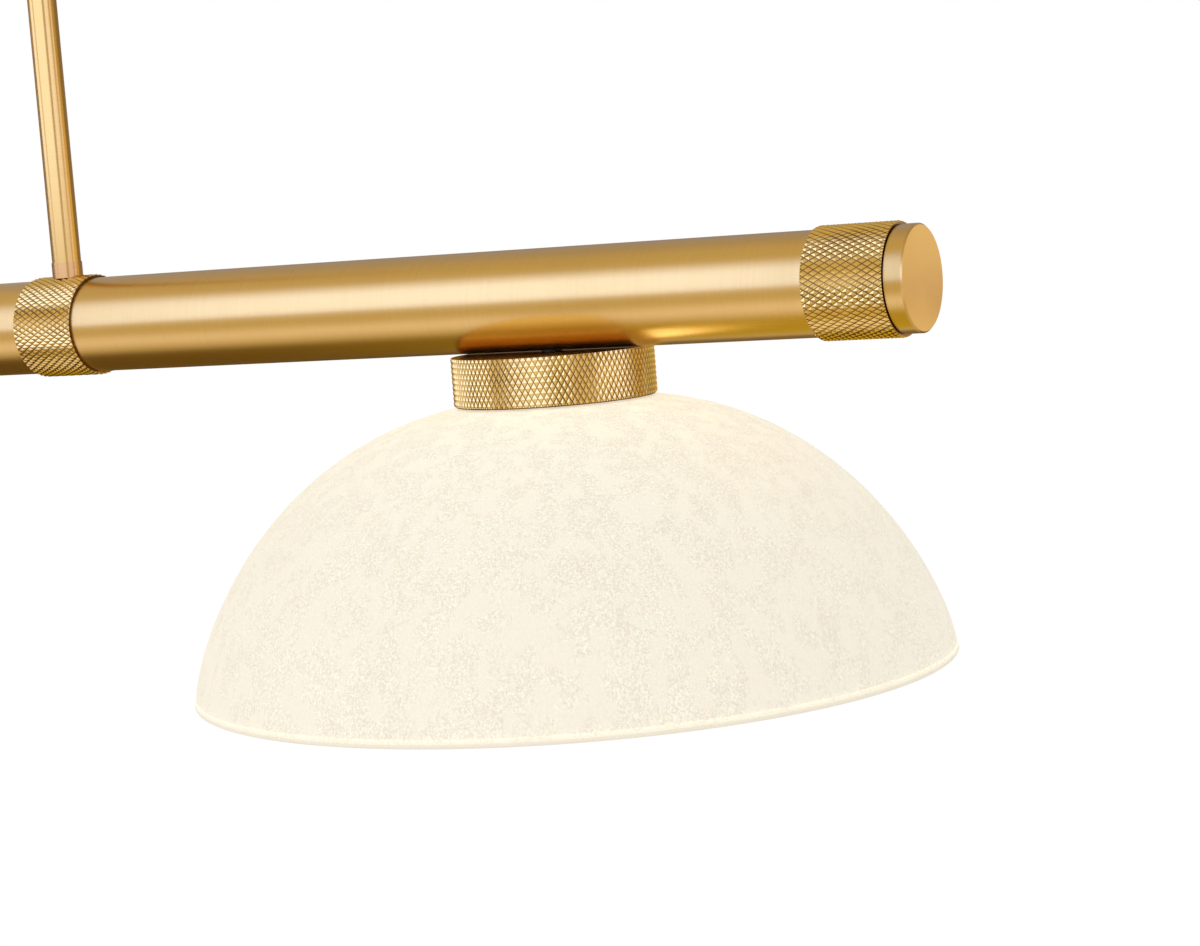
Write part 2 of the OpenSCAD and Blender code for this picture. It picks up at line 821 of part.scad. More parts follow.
// Three-way terminal block on the canopy's floor, with its clamp screws
module terminal_block() {
  floor_z = -canopy_h + canopy_wall;
  way = block_len / 3;
  crown_len = way - block_slot;
  crown_w = block_w - 2 * block_ledge;
  color(porcelain) translate([block_x, block_y, floor_z]) difference() {
    union() {
      translate([-block_len / 2, -block_w / 2, 0]) cube([block_len, block_w, block_body_h]);
      for (i = [-1 : 1]) translate([i * way - crown_len / 2, -crown_w / 2, 0])
        cube([crown_len, crown_w, block_h]);
    }
    for (i = [-1 : 1], y = [-1, 1])
      translate([i * way, y * crown_w / 4, block_h - clamp_screw_deep])
        cylinder(d = clamp_screw_d, h = clamp_screw_deep + cut);
    for (i = [-1 : 1]) translate([i * way, 0, clamp_bore_z]) rotate([90, 0, 0])
      cylinder(d = clamp_bore_d, h = block_w + 2 * cut, center = true);
  }
}

// The lamp cable: down the left rod, along the bar and into each lampholder
module harness() {
  drop_z = bar_z + socket_top - wire_end_drop;
  color(cable_white) {
    cable([[-rod_x, 0, ball_z - wire_gap], [-rod_x, 0, bar_z]], wire_r);
    cable([[-shade_pitch, 0, drop_z], [-shade_pitch, 0, bar_z],
           [shade_pitch, 0, bar_z], [shade_pitch, 0, drop_z]], wire_r);
    cable([[0, 0, bar_z], [0, 0, drop_z]], wire_r);
  }
}

canopy();
ceiling_bracket();
canopy_studs();
canopy_nuts();
load_plates();
at_rod(-1) swivel_cup();  // swivel_cup_left
at_rod(1) swivel_cup();  // swivel_cup_right
swivel_locknuts();
supply_leads();
terminal_block();
at_rod(-1) swivel_ball();  // swivel_ball_left
at_rod(1) swivel_ball();  // swivel_ball_right
at_rod(-1) rod_upper();  // rod_upper_left
at_rod(1) rod_upper();  // rod_upper_right
rod_couplers();
at_rod(-1) rod_lower();  // rod_lower_left
at_rod(1) rod_lower();  // rod_lower_right
rod_foot_nipples();
at_rod(-1) rod_ferrule();  // rod_ferrule_left
at_rod(1) rod_ferrule();  // rod_ferrule_right
at_rod(-1) collar();  // collar_left
at_rod(1) collar();  // collar_right
bar();
bar_bosses();
harness();
at_bar_end(-1) end_plug();  // end_plug_left
at_bar_end(1) end_plug();  // end_plug_right
at_bar_end(-1) end_ring();  // end_ring_left
at_bar_end(1) end_ring();  // end_ring_right
at_bar_end(-1) end_button();  // end_button_left
at_bar_end(1) end_button();  // end_button_right
at_lamp(-1) neck();  // neck_left
at_lamp(0) neck();  // neck_middle
at_lamp(1) neck();  // neck_right
neck_nipples();
neck_nuts();
at_lamp(-1) socket_body();  // socket_left
at_lamp(0) socket_body();  // socket_middle
at_lamp(1) socket_body();  // socket_right
at_lamp(-1) socket_shell();  // socket_shell_left
at_lamp(0) socket_shell();  // socket_shell_middle
at_lamp(1) socket_shell();  // socket_shell_right
socket_contacts();
shade_gaskets();
at_lamp(-1) shade_ring();  // shade_ring_left
at_lamp(0) shade_ring();  // shade_ring_middle
at_lamp(1) shade_ring();  // shade_ring_right
at_lamp(-1) shade();  // shade_left
at_lamp(0) shade();  // shade_middle
at_lamp(1) shade();  // shade_right
at_lamp(-1) bulb_glass();  // bulb_glass_left
at_lamp(0) bulb_glass();  // bulb_glass_middle
at_lamp(1) bulb_glass();  // bulb_glass_right
at_lamp(-1) bulb_cap();  // bulb_cap_left
at_lamp(0) bulb_cap();  // bulb_cap_middle
at_lamp(1) bulb_cap();  // bulb_cap_right
at_lamp(-1) bulb_tip();  // bulb_tip_left
at_lamp(0) bulb_tip();  // bulb_tip_middle
at_lamp(1) bulb_tip();  // bulb_tip_right
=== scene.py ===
import json
import math

import bmesh
import bpy
import numpy as np
from mathutils import Matrix, Vector


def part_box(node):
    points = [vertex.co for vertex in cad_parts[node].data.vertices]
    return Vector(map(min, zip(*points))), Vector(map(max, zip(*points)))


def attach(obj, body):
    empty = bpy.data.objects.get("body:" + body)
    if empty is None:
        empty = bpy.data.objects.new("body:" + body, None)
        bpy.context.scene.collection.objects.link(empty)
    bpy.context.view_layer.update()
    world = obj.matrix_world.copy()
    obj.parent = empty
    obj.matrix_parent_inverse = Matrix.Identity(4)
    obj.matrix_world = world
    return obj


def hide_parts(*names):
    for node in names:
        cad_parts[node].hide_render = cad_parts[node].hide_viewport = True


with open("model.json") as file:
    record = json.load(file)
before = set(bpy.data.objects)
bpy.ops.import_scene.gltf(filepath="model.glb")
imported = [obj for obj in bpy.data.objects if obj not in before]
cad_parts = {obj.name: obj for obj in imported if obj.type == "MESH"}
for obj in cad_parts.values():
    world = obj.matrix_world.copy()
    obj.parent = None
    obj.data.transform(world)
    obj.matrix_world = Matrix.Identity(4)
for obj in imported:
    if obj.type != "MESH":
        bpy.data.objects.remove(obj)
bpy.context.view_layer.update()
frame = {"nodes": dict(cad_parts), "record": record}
nodes = frame["nodes"]

# Places of the part's nodes, and sizes of the pieces that are modelled finer here, in metres
BAR_LOW, BAR_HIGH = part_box("bar")
BAR_Z = (BAR_LOW.z + BAR_HIGH.z) / 2
SIDES = {"left": -1.0, "right": 1.0}
LAMPS = {lamp: sum(corner.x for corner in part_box("neck_" + lamp)) / 2
         for lamp in ("left", "middle", "right")}
ROD_X = sum(corner.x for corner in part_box("rod_ferrule_right")) / 2

# Knurled rings at the bar's ends, and collars under the rods
RING_R = 0.0269
RING_BORE = 0.0251
RING_OUT_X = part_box("end_ring_right")[1].x
END_RING_LEN = 0.040
COLLAR_LEN = 0.0375

# Knurled necks: cups with a tapped top plate
NECK_R = 0.050
NECK_H = 0.024
NECK_TOP = BAR_Z - 0.0252
NECK_PLATE = 0.0025
NECK_WALL = 0.005
TAPPED_R = 0.0051

# Glass shades, ground flat inside round the lampholder's hole
SHADE_R = 0.1875
SHADE_H = 0.1365
SHADE_WALL = 0.004
SHADE_RIM = BAR_Z - 0.1835
SHADE_HOLE = 0.021
SHADE_FLAT = 0.025
SHADE_SEAT_IN = 0.0275

# Bulbs
CAP_LOW = BAR_Z - 0.0807
BULB_LOW = BAR_Z - 0.1617
BULB_R = 0.030
CAP_R = 0.013

# Knurling: its depth, and diamonds round a piece and the height of a row, as counted on the photograph
KNURL_DEPTH = 0.00066
NECK_DIAMONDS = 105
NECK_ROW = 0.00262
NECK_CHAMFER = 0.00035
# The neck's recessed foot, painted dark as the shadow line where the neck meets the glass
NECK_FOOT = 0.0006
RING_DIAMONDS = 54
RING_ROW = 0.00264
RING_CHAMFER = 0.00045

# The end ring's plate, and the hole in it for the button's spigot
RING_PLATE = 0.002
SPIGOT_R = 0.012

# How much of a knurled neck's bright crest its plain top shows
NECK_TOP_RELIEF = 0.6

# The middle of a noise's range, where most of it lies
LOW, HIGH = 0.3, 0.7


# Materials
def shader(name):
    """A new material with its node tree and its Principled shader."""
    mat = bpy.data.materials.new(name)
    mat.use_nodes = True
    tree = mat.node_tree
    return mat, tree, tree.nodes["Principled BSDF"]


def add(tree, kind, links=None, **settings):
    """A node with its properties set, and its inputs set or linked."""
    made = tree.nodes.new(kind)
    for key, value in settings.items():
        setattr(made, key, value)
    for key, value in (links or {}).items():
        if isinstance(value, bpy.types.NodeSocket):
            tree.links.new(value, made.inputs[key])
        else:
            made.inputs[key].default_value = value
    return made


def rgba(colour):
    """A colour with full alpha."""
    return (*colour, 1.0)


def mapped(tree, scale):
    """Object coordinates, stretched along each axis."""
    coords = add(tree, "ShaderNodeTexCoord")
    return add(tree, "ShaderNodeMapping",
               {"Vector": coords.outputs["Object"], "Scale": scale}).outputs["Vector"]


def noise(tree, scale, detail=3.0, rough=0.55):
    """Noise with so many features to the metre along each axis."""
    return add(tree, "ShaderNodeTexNoise",
               {"Vector": mapped(tree, scale), "Scale": 1.0, "Detail": detail,
                "Roughness": rough}).outputs["Fac"]


def spread(tree, value, low, high, start=0.0, end=1.0):
    """The value's range from start to end, laid over low to high."""
    return add(tree, "ShaderNodeMapRange",
               {"Value": value, "From Min": start, "From Max": end,
                "To Min": low, "To Max": high}).outputs["Result"]


def blend(tree, factor, one, two):
    """From the first colour to the second as the factor goes from 0 to 1."""
    made = tree.nodes.new("ShaderNodeMix")
    made.data_type = "RGBA"
    for socket, value in ((made.inputs[0], factor), (made.inputs[6], one), (made.inputs[7], two)):
        if isinstance(value, bpy.types.NodeSocket):
            tree.links.new(value, socket)
        else:
            socket.default_value = value
    return made.outputs[2]


def bump(tree, height, strength, distance, normal=None):
    """A normal raised by a height, over another normal if one is given."""
    links = {"Height": height, "Strength": strength, "Distance": distance}
    if normal is not None:
        links["Normal"] = normal
    return add(tree, "ShaderNodeBump", links).outputs["Normal"]


def brushed(name, colour, dark, axis, rough=(0.27, 0.33), aniso=0.5, tarnish=0.22, coat=0.6):
    """Lacquered brass with fine lines round an axis, a soft tarnish and a few hairline scratches."""
    mat, tree, bsdf = shader(name)
    fine, coarse, along = 4200.0, 672.0, 14.0
    scale = [along] * 3
    scale["XYZ".index(axis)] = fine
    lines = noise(tree, scale, detail=2.0)
    scale["XYZ".index(axis)] = coarse
    bands = noise(tree, scale, detail=3.0)
    clouds = noise(tree, (9.0, 9.0, 9.0), detail=4.0)
    warp = noise(tree, (22.0, 22.0, 22.0), detail=2.0)
    hairs = add(tree, "ShaderNodeTexWave",
                {"Vector": mapped(tree, (19.0, 31.0, 47.0)), "Scale": 2.3, "Distortion": 9.0, "Detail": 3.0,
                 "Detail Scale": 0.7}, wave_type="BANDS", bands_direction="DIAGONAL").outputs["Fac"]
    crests, patches = spread(tree, hairs, 0.0, 1.0, 0.992, 1.0), spread(tree, warp, 0.0, 1.0, 0.52, 0.66)
    hairs = add(tree, "ShaderNodeMath", {0: crests, 1: patches}, operation="MULTIPLY").outputs[0]
    tone = blend(tree, spread(tree, clouds, 0.0, tarnish, 0.35, 0.75), rgba(colour), rgba(dark))
    tone = blend(tree, spread(tree, bands, 0.0, 0.07, 0.35, 0.7), tone, rgba(dark))
    tone = blend(tree, spread(tree, lines, 0.0, 0.14, 0.4, 0.75), tone, rgba(dark))
    tree.links.new(tone, bsdf.inputs["Base Color"])
    tree.links.new(spread(tree, lines, rough[0], rough[1], 0.25, 0.75), bsdf.inputs["Roughness"])
    normal = bump(tree, lines, 0.2, 0.000008, bump(tree, bands, 0.12, 0.00002))
    tree.links.new(bump(tree, hairs, 0.25, 0.00003, normal), bsdf.inputs["Normal"])
    bsdf.inputs["Metallic"].default_value = 1.0
    bsdf.inputs["Anisotropic"].default_value = aniso
    bsdf.inputs["Anisotropic Rotation"].default_value = 0.25
    bsdf.inputs["Coat Weight"].default_value = coat
    bsdf.inputs["Coat Roughness"].default_value = 0.24
    tangent = add(tree, "ShaderNodeTangent", direction_type="RADIAL", axis=axis)
    tree.links.new(tangent.outputs["Tangent"], bsdf.inputs["Tangent"])
    return mat


def knurled_metal(name, crest, groove_shade):
    """Cut brass: bright burnished crests; the grooves and low faces painted dark as their shade."""
    mat, tree, bsdf = shader(name)
    relief = add(tree, "ShaderNodeAttribute", attribute_name="relief").outputs["Fac"]
    grit = noise(tree, (900.0, 900.0, 900.0), detail=3.0)
    patches = noise(tree, (60.0, 60.0, 60.0), detail=3.0)
    height = add(tree, "ShaderNodeMath", {0: relief, 1: spread(tree, patches, -0.07, 0.07, LOW, HIGH)},
                 operation="ADD").outputs[0]
    # Painted shade: low relief takes the dark groove colour, high relief the crest's
    tone = blend(tree, spread(tree, height, 0.0, 1.0, 0.02, 0.2), rgba(groove_shade), rgba(crest))
    tree.links.new(tone, bsdf.inputs["Base Color"])
    tree.links.new(spread(tree, grit, 0.13, 0.21, LOW, HIGH), bsdf.inputs["Roughness"])
    tree.links.new(bump(tree, grit, 0.15, 0.00003), bsdf.inputs["Normal"])
    bsdf.inputs["Metallic"].default_value = 1.0
    return mat


def plated_steel(name):
    """Zinc or nickel plate: a faint spangle and drawn scratches."""
    mat, tree, bsdf = shader(name)
    spangle = add(tree, "ShaderNodeTexVoronoi",
                  {"Vector": mapped(tree, (160.0, 160.0, 160.0)), "Scale": 1.0}).outputs["Color"]
    grey = add(tree, "ShaderNodeRGBToBW", {0: spangle}).outputs[0]
    scratches = noise(tree, (40.0, 900.0, 40.0))
    tone = blend(tree, spread(tree, grey, 0.0, 0.5), rgba((0.62, 0.64, 0.66)), rgba((0.48, 0.50, 0.53)))
    tree.links.new(tone, bsdf.inputs["Base Color"])
    tree.links.new(spread(tree, scratches, 0.28, 0.48, LOW, HIGH), bsdf.inputs["Roughness"])
    tree.links.new(bump(tree, scratches, 0.15, 0.00005), bsdf.inputs["Normal"])
    bsdf.inputs["Metallic"].default_value = 1.0
    return mat


def plain_body(name, light, dark, rough, scale=120.0, coat=0.0):
    """Moulded or glazed material with a fine mottle."""
    mat, tree, bsdf = shader(name)
    mottle = noise(tree, (scale,) * 3, detail=4.0)
    fine = noise(tree, (scale * 14,) * 3)
    tone = blend(tree, spread(tree, mottle, 0.0, 1.0, 0.35, 0.7), rgba(light), rgba(dark))
    tree.links.new(tone, bsdf.inputs["Base Color"])
    tree.links.new(spread(tree, fine, rough - 0.05, rough + 0.08, LOW, HIGH), bsdf.inputs["Roughness"])
    tree.links.new(bump(tree, fine, 0.2, 0.00005), bsdf.inputs["Normal"])
    bsdf.inputs["Coat Weight"].default_value = coat
    bsdf.inputs["Coat Roughness"].default_value = 0.06
    return mat


def shade_glass():
    """Warm opal glass: smooth pale islands in a finely crackled, sandy skin, with the bulb's light through
    it painted on as emission.
    """
    mat, tree, bsdf = shader("shade_glass")
    tints = noise(tree, (30.0, 30.0, 22.0), detail=4.0)
    warm = noise(tree, (52.0, 52.0, 30.0), detail=4.0, rough=0.6)
    islands = noise(tree, (92.0, 92.0, 50.0), detail=5.0, rough=0.6)
    worms = noise(tree, (430.0, 430.0, 300.0), detail=3.0, rough=0.6)
    sand = noise(tree, (980.0, 980.0, 800.0), detail=3.0, rough=0.7)
    smooth = spread(tree, islands, 0.0, 1.0, 0.48, 0.57)
    skin = spread(tree, smooth, 1.0, 0.25)
    ridge = add(tree, "ShaderNodeMath", {0: worms, 1: 0.5}, operation="SUBTRACT")
    ridge = add(tree, "ShaderNodeMath", {0: ridge.outputs[0]}, operation="ABSOLUTE")
    line = spread(tree, ridge.outputs[0], 1.0, 0.0, 0.0, 0.045)
    line = add(tree, "ShaderNodeMath", {0: line, 1: skin}, operation="MULTIPLY").outputs[0]
    grain = spread(tree, sand, 1.0, 0.0, 0.42, 0.58)
    grain = add(tree, "ShaderNodeMath", {0: grain, 1: skin}, operation="MULTIPLY").outputs[0]
    glow = add(tree, "ShaderNodeAttribute", attribute_name="glow").outputs["Fac"]
    rim = add(tree, "ShaderNodeAttribute", attribute_name="rim").outputs["Fac"]
    inside = add(tree, "ShaderNodeAttribute", attribute_name="inside").outputs["Fac"]

    def tinted(base, pale, peach, lined, near, edge):
        """The skin, its islands, warm spots, lines and grain, the glass near the bulb lighter as painted
        light, and the rim.
        """
        tone = blend(tree, smooth, rgba(base), rgba(pale))
        tone = blend(tree, spread(tree, warm, 0.0, 0.7, 0.52, 0.68), tone, rgba(peach))
        tone = blend(tree, spread(tree, tints, 0.0, 0.45, 0.45, 0.70), tone, rgba(pale))
        # Painted light: the glass grows lighter and warmer near the bulb
        tone = blend(tree, glow, tone, rgba(near))
        tone = blend(tree, spread(tree, grain, 0.0, 0.48), tone, rgba(lined))
        tone = blend(tree, spread(tree, line, 0.0, 0.42), tone, rgba(lined))
        return blend(tree, rim, tone, rgba(edge))

    outer = tinted(base=(0.970, 0.918, 0.787), pale=(0.896, 0.848, 0.733), peach=(0.915, 0.845, 0.72),
                   lined=(0.66, 0.60, 0.51), near=(0.98, 0.92, 0.77), edge=(0.86, 0.80, 0.68))
    # The inside takes the plain glass, painted darker as shade
    tree.links.new(blend(tree, inside, outer, rgba(PLAIN_SHADED_GLASS)), bsdf.inputs["Base Color"])
    # Painted light: emission stands for the bulb's light through the glass, strongest near the bulb and
    # halved on the inside
    shine = tinted(base=(1.0, 0.945, 0.797), pale=(0.928, 0.876, 0.745), peach=(0.965, 0.885, 0.745),
                   lined=(0.69, 0.63, 0.53), near=(1.0, 0.94, 0.76), edge=(0.80, 0.735, 0.62))
    tree.links.new(shine, bsdf.inputs["Emission Color"])
    near_bulb, dimmed = spread(tree, glow, 0.55, 0.68), spread(tree, inside, 1.0, 0.5)
    lit = add(tree, "ShaderNodeMath", {0: near_bulb, 1: dimmed}, operation="MULTIPLY")
    tree.links.new(lit.outputs[0], bsdf.inputs["Emission Strength"])
    tree.links.new(spread(tree, sand, 0.44, 0.62, LOW, HIGH), bsdf.inputs["Roughness"])
    relief = bump(tree, line, 0.35, 0.00012)
    relief = bump(tree, grain, 0.4, 0.00012, relief)
    tree.links.new(bump(tree, smooth, 0.12, 0.0001, relief), bsdf.inputs["Normal"])
    bsdf.inputs["Specular IOR Level"].default_value = 0.0
    bsdf.inputs["Subsurface Weight"].default_value = 0.12
    bsdf.inputs["Subsurface Radius"].default_value = (0.004, 0.003, 0.0015)
    bsdf.inputs["Subsurface Scale"].default_value = 1.0
    return mat


def bulb_opal():
    """The bulb's opal glass, lit."""
    mat, tree, bsdf = shader("bulb_glass")
    haze = noise(tree, (60.0, 60.0, 60.0))
    tone = blend(tree, spread(tree, haze, 0.0, 1.0, LOW, HIGH),
                 rgba((0.96, 0.94, 0.88)), rgba((0.92, 0.90, 0.84)))
    tree.links.new(tone, bsdf.inputs["Base Color"])
    tree.links.new(spread(tree, haze, 0.16, 0.26, LOW, HIGH), bsdf.inputs["Roughness"])
    bsdf.inputs["Emission Color"].default_value = rgba((1.0, 0.86, 0.62))
    bsdf.inputs["Emission Strength"].default_value = 2.2
    return mat


# Metals' colours: the bar, tarnish, rods, ferrules, the knurling's crests and its grooves' painted shade,
# and blacked steel
BRASS = (0.67, 0.405, 0.088)
BRASS_DARK = (0.50, 0.27, 0.035)
ROD = (0.66, 0.375, 0.080)
PINK = (0.65, 0.34, 0.09)
KNURL_CREST = (0.74, 0.475, 0.115)
KNURL_GROOVE_SHADE = (0.16, 0.075, 0.018)
BLACKED = (0.045, 0.035, 0.025)
BLACKED_DARK = (0.03, 0.02, 0.015)

# The shade's inside, which has no crackle, painted darker than the outside as shade against the strong
# light in there
PLAIN_SHADED_GLASS = (0.88, 0.83, 0.71)

brass_x = brushed("satin_brass_bar", BRASS, BRASS_DARK, "X")
brass_face = brushed("satin_brass_turned", BRASS, BRASS_DARK, "X", rough=(0.25, 0.31), aniso=0.6)
brass_z = brushed("rod_brass", ROD, BRASS_DARK, "Z", rough=(0.18, 0.23), tarnish=0.12, coat=0.0)
brass_pink = brushed("ferrule_brass", PINK, BRASS_DARK, "Z", rough=(0.18, 0.26), tarnish=0.12, coat=0.0)
brass_sheet = brushed("canopy_brass", BRASS, BRASS_DARK, "Y", rough=(0.26, 0.40), aniso=0.0)
knurl_brass = knurled_metal("knurled_brass", KNURL_CREST, KNURL_GROOVE_SHADE)
black_steel = brushed("nipple_steel", BLACKED, BLACKED_DARK, "Z", rough=(0.5, 0.6), coat=0.0)
steel = plated_steel("zinc_steel")
cable_skin = plain_body("cable_sheath", (0.86, 0.85, 0.80), (0.80, 0.79, 0.74), 0.45)
clamp_body = plain_body("terminal_plastic", (0.84, 0.83, 0.78), (0.78, 0.77, 0.71), 0.38)
porcelain = plain_body("lampholder_ceramic", (0.88, 0.87, 0.83), (0.82, 0.81, 0.76), 0.22, coat=0.7)
contact = brushed("contact_brass", BRASS, BRASS_DARK, "Z", aniso=0.0)
rubber = plain_body("gasket", (0.74, 0.72, 0.66), (0.66, 0.64, 0.58), 0.6, scale=300.0)
glass = shade_glass()
opal = bulb_opal()
nickel = plated_steel("bulb_cap")

FINISHES = {
    "canopy_brass": brass_sheet, "satin_brass": brass_x, "rod_brass": brass_z,
    "knurled_brass": knurl_brass, "zinc_steel": steel, "cable_sheath": cable_skin,
    "terminal_plastic": clamp_body, "lampholder_ceramic": porcelain, "contact_brass": contact,
    "gasket": rubber, "shade_glass": glass, "bulb_glass": opal, "bulb_cap": nickel,
}


def dress(node, material):
    """Give a CAD node one material in place of its own."""
    data = nodes[node].data
    data.materials.clear()
    data.materials.append(material)


def dress_cad_nodes():
    """Every CAD node takes the detailed material of its record slot, and five a variant of it."""
    for part in frame["record"]["subparts"]:
        dress(part["node"], FINISHES[part["material_slot"]])
    for side in SIDES:
        dress("end_button_" + side, brass_face)
        dress("rod_ferrule_" + side, brass_pink)
    dress("neck_nipples", black_steel)


# Meshes
def mesh_object(name, verts, faces, material, smooth=True):
    """A new object in the scene, with one material."""
    data = bpy.data.meshes.new(name)
    data.from_pydata([tuple(v) for v in verts], [], faces)
    data.update()
    data.materials.append(material)
    for poly in data.polygons:
        poly.use_smooth = smooth
    obj = bpy.data.objects.new(name, data)
    bpy.context.scene.collection.objects.link(obj)
    return obj


def shade_sharp(obj, degrees):
    """Smooth shading, with edges kept that turn by more than the angle."""
    with bpy.context.temp_override(object=obj, active_object=obj, selected_objects=[obj],
                                   selected_editable_objects=[obj]):
        bpy.ops.object.shade_smooth_by_angle(angle=math.radians(degrees))


def attribute(obj, name, values):
    """One value for each vertex, for the materials."""
    layer = obj.data.attributes.new(name, "FLOAT", "POINT")
    layer.data.foreach_set("value", np.asarray(values, dtype=np.float32))


def lathe(profile, steps):
    """Vertices and faces of a section (radius, height) turned about Z."""
    count = len(profile)
    verts = []
    for s in range(steps):
        a = 2 * math.pi * s / steps
        verts += [(r * math.cos(a), r * math.sin(a), z) for r, z in profile]
    faces = []
    for s in range(steps):
        t = (s + 1) % steps
        for i in range(count):
            j = (i + 1) % count
            faces.append((s * count + i, t * count + i, t * count + j, s * count + j))
    return verts, faces


def knurled_skin(radius, length, around, row, depth):
    """Diamond pyramids with narrow flat grooves between them, faced off at both ends.

    Returns a bmesh about Z that reaches past 0 and length, to be faced off there.
    flat is where a diamond's sides end, as a share of its half width, and crown its blunt tip's size.
    """
    flat, crown, spare = 0.955, 0.04, 0.3
    rows = 2 * math.ceil(length / row / 2 + spare)
    columns = 2 * around
    bm = bmesh.new()
    store = {}

    def point(j, k, lift):
        """The vertex at a column, a row and a share of the depth. Diamonds that meet there share it."""
        key = (round(j * 1000) % (columns * 1000), round(k * 1000), round(lift * 100))
        if key not in store:
            a = math.pi * j / around
            r = radius - depth * (1 - lift)
            z = length / 2 + (k - rows / 2) * row
            store[key] = bm.verts.new((r * math.cos(a), r * math.sin(a), z))
        return store[key]

    def corners(j, k, size, lift):
        """A square on its corner, round a column and a row."""
        return [point(j + size, k, lift), point(j, k + size, lift),
                point(j - size, k, lift), point(j, k - size, lift)]

    for k in range(rows + 1):
        for j in range(columns):
            if (j + k) % 2 == 0:
                foot = corners(j, k, flat, 0.0)
                peak = corners(j, k, crown, 1 - crown)
                bm.faces.new(peak)
                for i in range(4):
                    n = (i + 1) % 4
                    bm.faces.new((foot[i], foot[n], peak[n], peak[i]))
                if k < rows:
                    for side in (1, -1):
                        tip = point(j + side * flat, k, 0.0)
                        top = point(j, k + flat, 0.0)
                        left = point(j + side * (1 - flat), k + 1, 0.0)
                        low = point(j + side, k + 1 - flat, 0.0)
                        quad = (tip, low, left, top)
                        bm.faces.new(quad if side == 1 else quad[::-1])
            elif 0 < k < rows:
                bm.faces.new([point(j - 1 + flat, k, 0.0), point(j, k - 1 + flat, 0.0),
                              point(j + 1 - flat, k, 0.0), point(j, k + 1 - flat, 0.0)])
    return bm


def faced(bm, radius, length, chamfer):
    """Cut the skin at both ends and take the crests down in a small chamfer."""
    for z, keep in ((0.0, 1), (length, -1)):
        geometry = bm.verts[:] + bm.edges[:] + bm.faces[:]
        bmesh.ops.bisect_plane(bm, geom=geometry, plane_co=(0, 0, z), plane_no=(0, 0, keep),
                               clear_inner=True)
    for z in (chamfer, length - chamfer):
        geometry = bm.verts[:] + bm.edges[:] + bm.faces[:]
        bmesh.ops.bisect_plane(bm, geom=geometry, plane_co=(0, 0, z), plane_no=(0, 0, 1))
    for v in bm.verts:
        r = math.hypot(v.co.x, v.co.y)
        edge = min(v.co.z, length - v.co.z)
        limit = radius - max(0.0, chamfer - edge)
        if r > limit:
            v.co.x *= limit / r
            v.co.y *= limit / r
    return bm


def knurled_piece(name, radius, length, around, row, chamfer, inner, foot=0.0, ends=0.0):
    """A knurled drum whose inside follows a section of (radius, height) from top to foot.

    The knurling starts above a smooth, recessed foot. ends is the relief that the core's upper half, the
    plain top, shows; the lower half takes none. Faces with no relief, such as the foot and the end faces
    against other parts, are painted dark as shade.
    """
    depth, under_skin, weld, step, steps = KNURL_DEPTH, 0.0004, 1e-7, 0.00002, 180
    cut_len = length - foot
    bm = faced(knurled_skin(radius, cut_len, around, row, depth), radius, cut_len, chamfer)
    rim_r = radius - depth - under_skin
    for z in (0.0, cut_len):
        ends_here = [e for e in bm.edges if e.is_boundary and all(abs(v.co.z - z) < weld for v in e.verts)]
        for edge in ends_here:
            a, b = edge.verts
            lows = []
            for v in (b, a):
                r = math.hypot(v.co.x, v.co.y)
                lows.append(bm.verts.new((v.co.x * rim_r / r, v.co.y * rim_r / r, z)))
            bm.faces.new((a, b, *lows))
    bmesh.ops.remove_doubles(bm, verts=bm.verts[:], dist=weld)
    relief = [min(1.0, max(0.0, (math.hypot(v.co.x, v.co.y) - radius + depth) / depth)) for v in bm.verts]
    bmesh.ops.recalc_face_normals(bm, faces=bm.faces[:])
    bm.verts.index_update()
    count = len(bm.verts)
    skin = [(v.co.x, v.co.y, v.co.z + foot) for v in bm.verts]
    skin_faces = [tuple(v.index for v in f.verts) for f in bm.faces]
    bm.free()
    section = [(rim_r, step), (rim_r, length - step)]
    section += [(r, min(max(z, step), length - step)) for r, z in inner]
    core, core_faces = lathe(section, steps)
    faces = skin_faces + [tuple(i + count for i in f) for f in core_faces]
    obj = mesh_object(name, skin + core, faces, knurl_brass, smooth=False)
    # Painted shade: the core's faces with no relief take the grooves' dark colour
    attribute(obj, "relief", relief + [ends if v[2] > length / 2 else 0.0 for v in core])
    return obj


def place(obj, matrix):
    """Move the mesh itself, so that the object stays at the part's origin."""
    obj.data.transform(matrix)
    obj.data.update()


def turned_to_x(x, sign=1.0):
    """From the drum's own frame (about Z, from 0) to the bar's axis, from x on towards sign."""
    return Matrix.Translation((x, 0, BAR_Z)) @ Matrix.Rotation(sign * math.pi / 2, 4, "Y")


def dome_z(r, big_r, height):
    """Height of a dome at a radius: a superellipse, flatter on top than an ellipse, leaner at the side."""
    top, side = 2.54, 1.47
    return height * (1 - (r / big_r) ** top) ** (1 / side)


def dome_points(big_r, height, end_r, steps):
    """A dome's section from its rim up to a radius, with closer points at the rim."""
    out = []
    for i in range(steps + 1):
        r = big_r - (big_r - end_r) * (i / steps) ** 2
        out.append((r, dome_z(r, big_r, height)))
    return out


